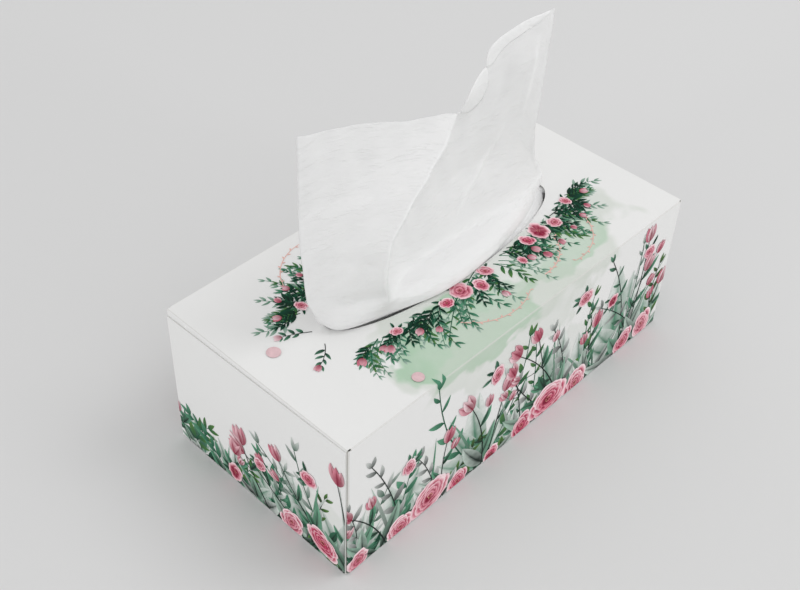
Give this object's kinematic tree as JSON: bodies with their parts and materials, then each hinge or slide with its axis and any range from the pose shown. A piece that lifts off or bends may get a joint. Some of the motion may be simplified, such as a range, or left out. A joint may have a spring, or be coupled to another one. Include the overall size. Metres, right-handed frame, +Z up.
{
  "type": "tissue box",
  "caption": "Flat rectangular folding carton of facial tissues with an oval opening in the top and one gathered sheet drawn up through it.",
  "frame": {"origin": "centre of the carton's base, on the surface it stands on", "axes": "+X along the long side, +Y across the carton towards the back, +Z up out of the opening"},
  "size_m": [0.23, 0.113, 0.1864],
  "materials": {
    "printed_board": "white lined folding board with a smooth satin print side",
    "tissue": "soft creped white two-ply tissue"
  },
  "bodies": {
    "root": {"carton": "printed_board", "tissue_pile": "tissue", "raised_tissue": "tissue"}
  },
  "joints": []
}
